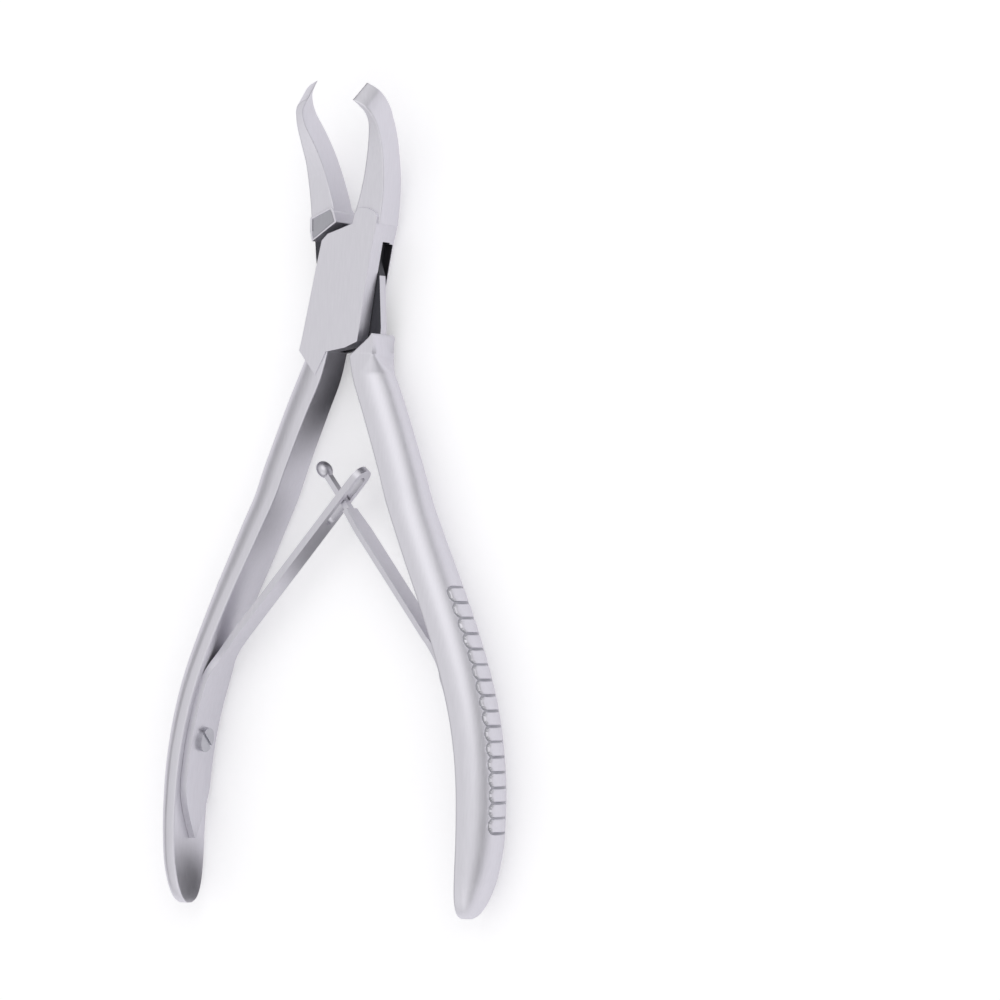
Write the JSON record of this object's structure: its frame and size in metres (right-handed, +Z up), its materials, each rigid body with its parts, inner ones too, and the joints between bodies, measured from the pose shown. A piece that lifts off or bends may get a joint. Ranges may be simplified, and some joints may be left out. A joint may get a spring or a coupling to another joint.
{
  "type": "bone rongeur",
  "caption": "Plier-style bone rongeur with a box lock, jaws curved sideways to square cutting edges, interlocking leaf springs and grooved handles.",
  "frame": {"origin": "bottom centre of the whole instrument as it lies flat with its jaws open", "axes": "+Y along the instrument toward the jaws, +X across it in the direction the jaws open, +Z up, the way the jaws curve"},
  "size_m": [0.07, 0.1544, 0.018],
  "materials": {
    "satin_steel": "satin",
    "pin_steel": "satin",
    "spring_steel": "satin",
    "screw_steel": "satin"
  },
  "bodies": {
    "box_half": {"box_half": "satin_steel", "lock_pin": "pin_steel", "slotted_spring_foot": "spring_steel", "slotted_spring_screw": "screw_steel"},
    "tongue_half": {"tongue_half": "satin_steel", "tongue_spring_foot": "spring_steel", "tongue_spring_screw": "screw_steel"},
    "slotted_spring_arm": {"slotted_spring_arm": "spring_steel"},
    "tongue_spring_arm": {"tongue_spring_arm": "spring_steel"}
  },
  "joints": [
    {"name": "jaw_hinge", "type": "hinge", "parent": "box_half", "child": "tongue_half", "pos_m": [-0.00102, 0.0399, 0.00612], "axis": [0, 0, -1], "range_deg": [0, 15.8], "stiffness_Nm_per_rad": 2.5, "springref_deg": -8.59},
    {"name": "slotted_spring_flex", "type": "hinge", "parent": "box_half", "child": "slotted_spring_arm", "pos_m": [-0.02356, -0.029, 0.00612], "axis": [0, 0, 1], "range_deg": [0, 10.63]},
    {"name": "tongue_spring_flex", "type": "hinge", "parent": "tongue_half", "child": "tongue_spring_arm", "pos_m": [0.02206, -0.029, 0.00612], "axis": [0, 0, -1], "range_deg": [0, 10.63]}
  ],
  "couplings": [
    {"joint": "slotted_spring_flex", "follows": "jaw_hinge", "ratio": 0.66},
    {"joint": "tongue_spring_flex", "follows": "jaw_hinge", "ratio": 0.66}
  ]
}
